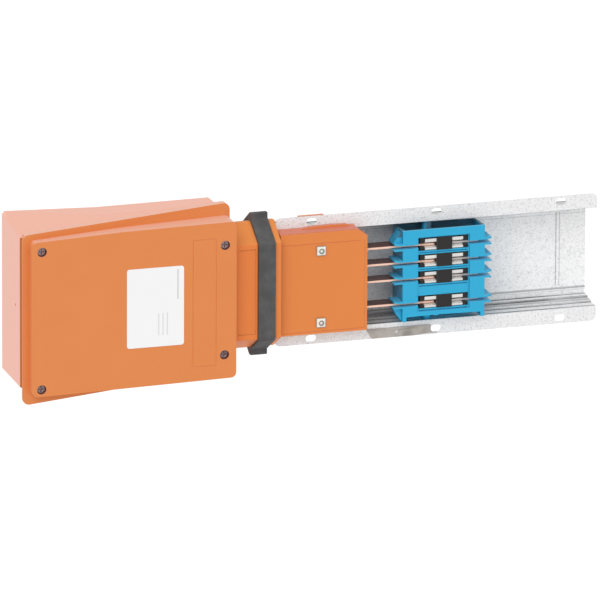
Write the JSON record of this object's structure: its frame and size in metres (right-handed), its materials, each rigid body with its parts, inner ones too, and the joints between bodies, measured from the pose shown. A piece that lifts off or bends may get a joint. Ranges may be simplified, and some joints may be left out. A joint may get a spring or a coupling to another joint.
{
  "type": "busway tap off box",
  "caption": "Feed and tap off box plugged to an open length of busway trunking: lidded box, sealed neck with a screwed cover, flat bars in a jaw contact block.",
  "frame": {"origin": "centre of the rectangle of flange slots, on the front plane of the trunking's flanges", "axes": "+X along the trunking away from the box, +Y towards the web (the back), +Z across the trunking, upwards as installed on edge"},
  "size_m": [0.442, 0.0594, 0.1366],
  "materials": {
    "galvanised_sheet": "galvanised, fine speckle",
    "tinned_strip": "tinned, dull",
    "blue_plastic": "satin moulded",
    "zinc": "zinc plated",
    "black_plastic": "matt",
    "silver_plate": "silver plated",
    "line_bar_metal": "dull copper",
    "orange_plastic": "satin moulded",
    "gasket_rubber": "matt rubber",
    "copper": "bright edges, brown faces",
    "grey_plastic": "matt",
    "terminal_brass": "plated brass",
    "orange_lid": "satin moulded, fine grain",
    "seal_foam": "foam",
    "label_white": "bare, smooth",
    "screw_steel": "plated",
    "bright_steel": "bright"
  },
  "bodies": {
    "trunk": {"trunk_casing": "galvanised_sheet", "earth_strip": "tinned_strip", "joint_block": "blue_plastic", "block_screws": "zinc", "contact_cages": "black_plastic", "feed_jaws": "silver_plate", "line_jaws": "silver_plate", "line_bars": "line_bar_metal"},
    "feed_box": {"back_shell": "orange_plastic", "neck_shell": "orange_plastic", "neck_gasket": "gasket_rubber", "neck_collar": "orange_plastic", "bridge_frame": "orange_plastic", "latch_arm": "orange_plastic", "feed_bars": "copper", "bar_support": "black_plastic", "terminal_base": "grey_plastic", "terminal_blocks": "terminal_brass", "terminal_screws": "zinc", "earth_terminal": "terminal_brass", "lid_inserts": "terminal_brass"},
    "lid": {"lid": "orange_lid", "lid_seal": "seal_foam", "label_plate": "label_white"},
    "cover": {"neck_cover": "orange_lid", "cover_washers": "bright_steel"},
    "lid_screw_1": {"lid_screw_1": "screw_steel"},
    "lid_screw_2": {"lid_screw_2": "screw_steel"},
    "lid_screw_3": {"lid_screw_3": "screw_steel"},
    "lid_screw_4": {"lid_screw_4": "screw_steel"},
    "cover_screw_top": {"cover_screw_top": "bright_steel"},
    "cover_screw_low": {"cover_screw_low": "bright_steel"}
  },
  "joints": [
    {"name": "feed_box_slide", "type": "slide", "parent": "trunk", "child": "feed_box", "axis": [-1, 0, 0], "range_m": [0, 0.06]},
    {"name": "lid_lift", "type": "slide", "parent": "feed_box", "child": "lid", "axis": [0, -1, 0], "range_m": [0, 0.06]},
    {"name": "neck_cover_lift", "type": "slide", "parent": "feed_box", "child": "cover", "axis": [0, -1, 0], "range_m": [0, 0.04]},
    {"name": "lid_screw_1_turn", "type": "hinge", "parent": "lid", "child": "lid_screw_1", "pos_m": [-0.3055, -0.02, 0.046], "axis": [0, 1, 0], "continuous": true},
    {"name": "lid_screw_2_turn", "type": "hinge", "parent": "lid", "child": "lid_screw_2", "pos_m": [-0.306, -0.02, -0.0574], "axis": [0, 1, 0], "continuous": true},
    {"name": "lid_screw_3_turn", "type": "hinge", "parent": "lid", "child": "lid_screw_3", "pos_m": [-0.1682, -0.02, 0.0402], "axis": [0, 1, 0], "continuous": true},
    {"name": "lid_screw_4_turn", "type": "hinge", "parent": "lid", "child": "lid_screw_4", "pos_m": [-0.1687, -0.02, -0.0424], "axis": [0, 1, 0], "continuous": true},
    {"name": "cover_screw_top_turn", "type": "hinge", "parent": "cover", "child": "cover_screw_top", "pos_m": [-0.091, -0.011, 0.0252], "axis": [0, 1, 0], "continuous": true},
    {"name": "cover_screw_low_turn", "type": "hinge", "parent": "cover", "child": "cover_screw_low", "pos_m": [-0.091, -0.011, -0.0293], "axis": [0, 1, 0], "continuous": true}
  ]
}
